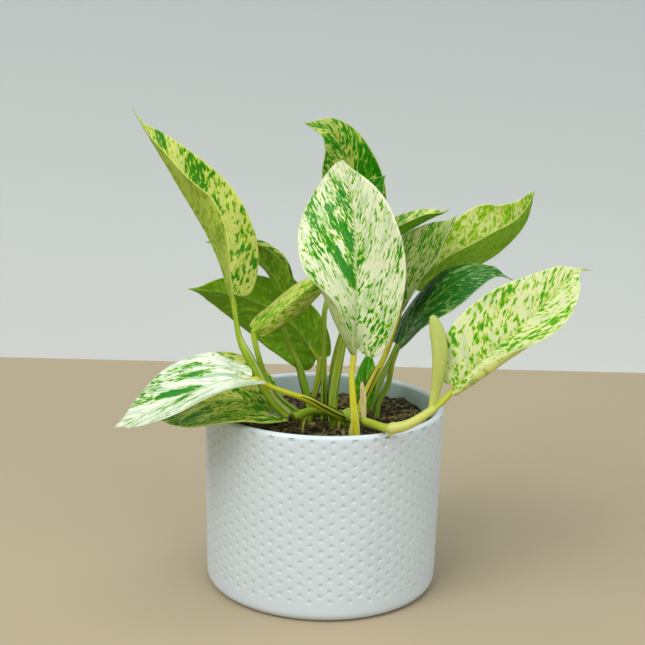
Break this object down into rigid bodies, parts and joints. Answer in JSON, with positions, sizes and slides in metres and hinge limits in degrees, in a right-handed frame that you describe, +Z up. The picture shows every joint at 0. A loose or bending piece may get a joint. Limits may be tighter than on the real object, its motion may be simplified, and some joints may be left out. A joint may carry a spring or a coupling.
{
  "type": "potted pothos plant",
  "caption": "Variegated pothos with upright and trailing leaves on long stalks, growing in soil in a round dimpled ceramic cover pot with a smooth rim band.",
  "frame": {"origin": "centre of the flat underside of the pot, where it stands", "axes": "+Z up along the pot's axis, +X to the right and -Y to the front, seen with the tall pale leaf on the left"},
  "size_m": [0.2263, 0.1395, 0.2462],
  "materials": {
    "glazed_ceramic": "satin",
    "potting_soil": "matte",
    "leaf_tall_left": "satin",
    "leaf_centre": "satin",
    "leaf_right_front": "satin",
    "leaf_dark_right": "satin",
    "leaf_right_back": "satin",
    "leaf_right_middle": "satin",
    "leaf_right_upper": "satin",
    "leaf_top_back": "satin",
    "leaf_small_back": "satin",
    "leaf_left_middle": "satin",
    "leaf_left_low": "satin",
    "leaf_curled": "satin",
    "leaf_left_white": "satin",
    "leaf_left_green": "satin",
    "leaf_small_front": "satin",
    "leaf_stalk": "satin",
    "green_stem": "satin",
    "dried_sheath": "matte"
  },
  "bodies": {
    "root": {"pot": "glazed_ceramic", "soil": "potting_soil", "leaf_tall_left": "leaf_tall_left", "leaf_centre": "leaf_centre", "leaf_right_front": "leaf_right_front", "leaf_dark_right": "leaf_dark_right", "leaf_right_back": "leaf_right_back", "leaf_right_middle": "leaf_right_middle", "leaf_right_upper": "leaf_right_upper", "leaf_top_back": "leaf_top_back", "leaf_small_back": "leaf_small_back", "leaf_left_middle": "leaf_left_middle", "leaf_left_low": "leaf_left_low", "leaf_curled": "leaf_curled", "leaf_left_white": "leaf_left_white", "leaf_left_green": "leaf_left_green", "leaf_small_front": "leaf_small_front", "stalk_tall_left": "leaf_stalk", "stalk_centre": "leaf_stalk", "stalk_right_front": "leaf_stalk", "stalk_dark_right": "leaf_stalk", "stalk_right_back": "leaf_stalk", "stalk_right_middle": "leaf_stalk", "stalk_right_upper": "leaf_stalk", "stalk_top_back": "leaf_stalk", "stalk_small_back": "leaf_stalk", "stalk_left_middle": "leaf_stalk", "stalk_left_low": "leaf_stalk", "stalk_curled": "leaf_stalk", "stalk_left_white": "leaf_stalk", "stalk_left_green": "leaf_stalk", "stalk_small_front": "leaf_stalk", "stem_right": "green_stem", "stem_left": "green_stem", "young_leaf_spike": "green_stem", "dried_sheath": "dried_sheath"}
  },
  "joints": []
}
